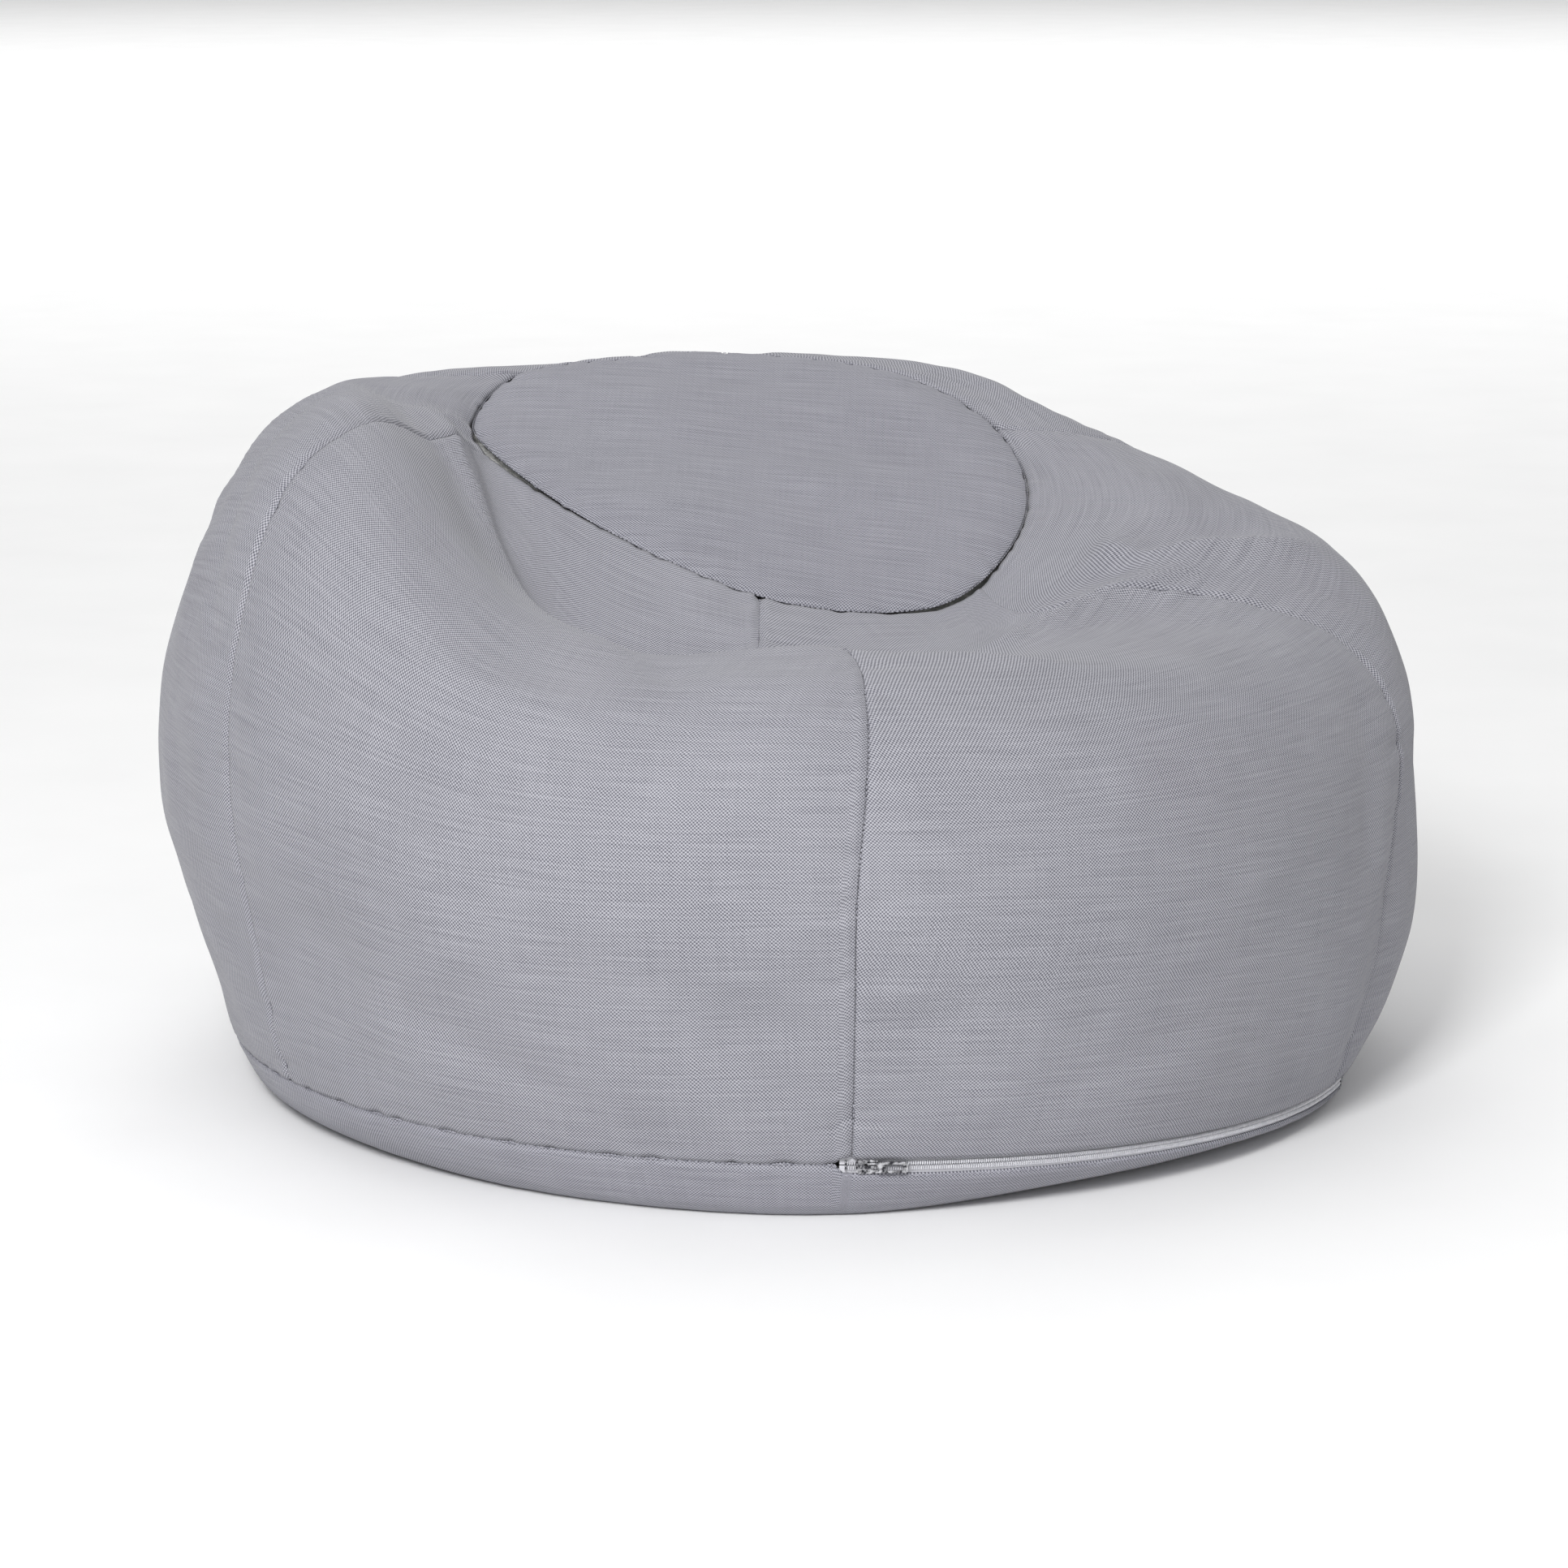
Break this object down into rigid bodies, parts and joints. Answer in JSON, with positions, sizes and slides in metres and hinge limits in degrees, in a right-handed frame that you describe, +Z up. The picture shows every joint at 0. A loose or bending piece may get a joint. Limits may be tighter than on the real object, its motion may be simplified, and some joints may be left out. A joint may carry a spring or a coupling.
{
  "type": "bean bag chair",
  "caption": "Low round bean bag chair: a panelled woven cover with a sunken round seat panel, a coil zip in its base seam, and a zipped liner full of beads.",
  "frame": {"origin": "middle of the footprint, on the floor that the bag rests on", "axes": "+Z up, -Y towards the low front of the seat, +X to the right of someone facing the front"},
  "size_m": [0.8712, 0.8598, 0.4785],
  "materials": {
    "cover_fabric": "heathered grey basket weave",
    "thread": "grey polyester sewing thread",
    "zip_tape": "light grey woven polyester tape",
    "zip_coil": "light grey nylon coil",
    "zip_metal": "nickel plated zinc alloy",
    "liner_fabric": "white plain polyester",
    "beads": "expanded polystyrene beads"
  },
  "bodies": {
    "bag": {"front_left_panel": "cover_fabric", "front_right_panel": "cover_fabric", "right_panel": "cover_fabric", "back_right_panel": "cover_fabric", "back_left_panel": "cover_fabric", "left_panel": "cover_fabric", "seat_panel": "cover_fabric", "base_panel": "cover_fabric", "side_seam_thread": "thread", "seat_seam_thread": "thread", "base_seam_thread": "thread", "zip_upper_tape": "zip_tape", "zip_lower_tape": "zip_tape", "zip_upper_coil": "zip_coil", "zip_lower_coil": "zip_coil", "zip_top_stops": "zip_metal", "zip_bottom_stop": "zip_metal", "liner_front_left": "liner_fabric", "liner_front_right": "liner_fabric", "liner_right": "liner_fabric", "liner_back_right": "liner_fabric", "liner_back_left": "liner_fabric", "liner_left": "liner_fabric", "liner_top": "liner_fabric", "liner_base": "liner_fabric", "liner_seam_thread": "thread", "liner_zip_tape": "zip_tape", "liner_zip_coil": "zip_coil", "liner_zip_stops": "zip_metal", "bead_fill": "beads"},
    "slider": {"zip_slider": "zip_metal"},
    "pull": {"zip_pull_tab": "zip_metal"},
    "liner_slider": {"liner_zip_slider": "zip_metal"}
  },
  "joints": [
    {"name": "zip_travel", "type": "hinge", "parent": "bag", "child": "slider", "pos_m": [0, 0, 0.0215], "axis": [0.0331, 0.0506, 0.9982], "range_deg": [0, 63.5]},
    {"name": "pull_swing", "type": "hinge", "parent": "slider", "child": "pull", "pos_m": [0.05255, -0.39918, 0.03999], "axis": [0.0331, 0.0506, 0.9982], "range_deg": [-178, 0]},
    {"name": "liner_zip_travel", "type": "hinge", "parent": "bag", "child": "liner_slider", "pos_m": [0, 0, 0.0249], "axis": [0.0331, 0.0506, 0.9982], "range_deg": [0, 52]}
  ]
}
